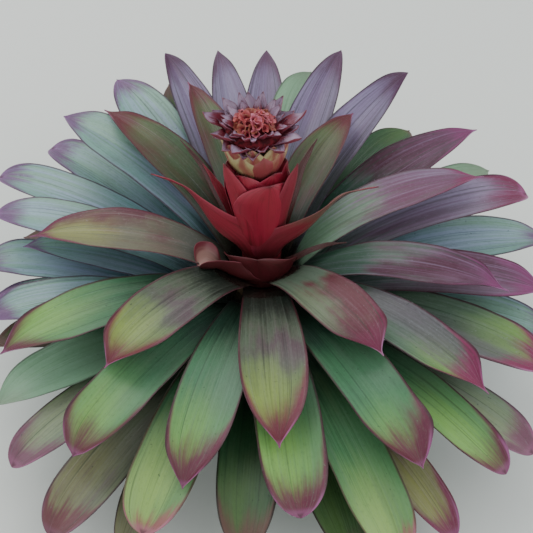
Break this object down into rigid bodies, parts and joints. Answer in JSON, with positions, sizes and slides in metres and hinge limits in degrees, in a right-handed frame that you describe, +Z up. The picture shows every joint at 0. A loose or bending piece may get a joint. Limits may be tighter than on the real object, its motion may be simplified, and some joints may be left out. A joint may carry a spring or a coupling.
{
  "type": "bromeliad rosette in flower",
  "caption": "Broad-leaved bromeliad rosette with arching strap leaves, a crimson bract-covered scape and a maroon flower head, standing on its cut stem base.",
  "frame": {"origin": "middle of the stem's flat cut base, which stands on the surface", "axes": "+Z up along the stem, -Y towards the side that the picture was taken from, +X to that viewer's right"},
  "size_m": [0.5834, 0.6, 0.3124],
  "materials": {
    "stem": "rough, brown, with dry leaf bases",
    "leaf_inner": "satin leaf, grey-green at the base and maroon to mauve at the tip",
    "leaf_middle": "satin leaf, grey-green to lime with a maroon tip and margin",
    "leaf_outer": "satin leaf, green to lime with a maroon tip and a thin dark margin",
    "leaf_lowest": "satin leaf, dark green",
    "scape": "satin crimson bracts",
    "scales": "satin yellow-green scales flushed with red",
    "bracts": "satin maroon bracts with lavender inner faces",
    "florets": "matte red and orange petals"
  },
  "bodies": {
    "root": {"stem": "stem", "leaf_i2": "leaf_inner", "leaf_i7": "leaf_inner", "leaf_i1": "leaf_inner", "leaf_i5": "leaf_inner", "leaf_j5": "leaf_inner", "leaf_i6": "leaf_inner", "leaf_i3": "leaf_inner", "leaf_i9": "leaf_inner", "leaf_i4": "leaf_inner", "leaf_j4": "leaf_inner", "leaf_i8": "leaf_inner", "leaf_j13": "leaf_middle", "leaf_j8": "leaf_middle", "leaf_b1": "leaf_middle", "leaf_j10": "leaf_middle", "leaf_j3": "leaf_middle", "leaf_j9": "leaf_middle", "leaf_j12": "leaf_middle", "leaf_j6": "leaf_middle", "leaf_j11": "leaf_middle", "leaf_j7": "leaf_middle", "leaf_k11": "leaf_middle", "leaf_j2": "leaf_middle", "leaf_k18": "leaf_middle", "leaf_j1": "leaf_middle", "leaf_k16": "leaf_middle", "leaf_j14": "leaf_middle", "leaf_k9": "leaf_outer", "leaf_k1": "leaf_outer", "leaf_k19": "leaf_outer", "leaf_k3": "leaf_outer", "leaf_k14": "leaf_outer", "leaf_j15": "leaf_outer", "leaf_k12": "leaf_outer", "leaf_k2": "leaf_outer", "leaf_k5": "leaf_outer", "leaf_k21": "leaf_outer", "leaf_k6": "leaf_outer", "leaf_k17": "leaf_outer", "leaf_b2": "leaf_outer", "leaf_k7": "leaf_outer", "leaf_k10": "leaf_outer", "leaf_k4": "leaf_outer", "leaf_k15": "leaf_outer", "leaf_b3": "leaf_outer", "leaf_k8": "leaf_outer", "leaf_k20": "leaf_outer", "leaf_k22": "leaf_outer", "leaf_k13": "leaf_outer", "leaf_b4": "leaf_lowest", "leaf_l1": "leaf_lowest", "leaf_b5": "leaf_lowest", "leaf_l3": "leaf_lowest", "leaf_l2": "leaf_lowest", "leaf_b6": "leaf_lowest", "scape": "scape", "head_scales": "scales", "head_bracts": "bracts", "head_florets": "florets"}
  },
  "joints": []
}
